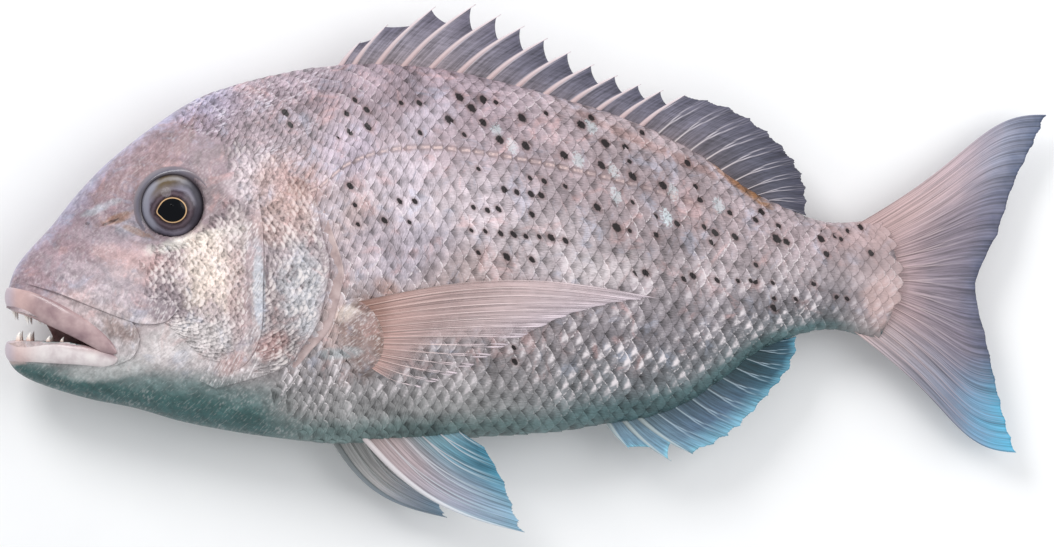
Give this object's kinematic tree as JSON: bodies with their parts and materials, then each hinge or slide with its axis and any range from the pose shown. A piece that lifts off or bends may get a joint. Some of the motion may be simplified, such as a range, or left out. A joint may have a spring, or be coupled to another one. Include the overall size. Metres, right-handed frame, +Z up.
{
  "type": "whole raw sea bream",
  "caption": "Whole raw sea bream lying on its side, mouth open on pointed teeth, with raised back and belly fins, folded side fins and a forked tail.",
  "frame": {"origin": "on the table, under the middle of the fish's overall length and of its overall height with its fins", "axes": "+X from the snout to the tail, +Y towards the back fin, +Z up from the table through the fish's left side"},
  "size_m": [0.45, 0.2268, 0.0585],
  "materials": {
    "skin": "wet silver-pink scales, brown spots, grey-blue fins",
    "eye": "clear wet eyeball, black pupil in a gold ring"
  },
  "bodies": {
    "root": {"fish": "skin", "eye_left": "eye", "eye_right": "eye"}
  },
  "joints": []
}
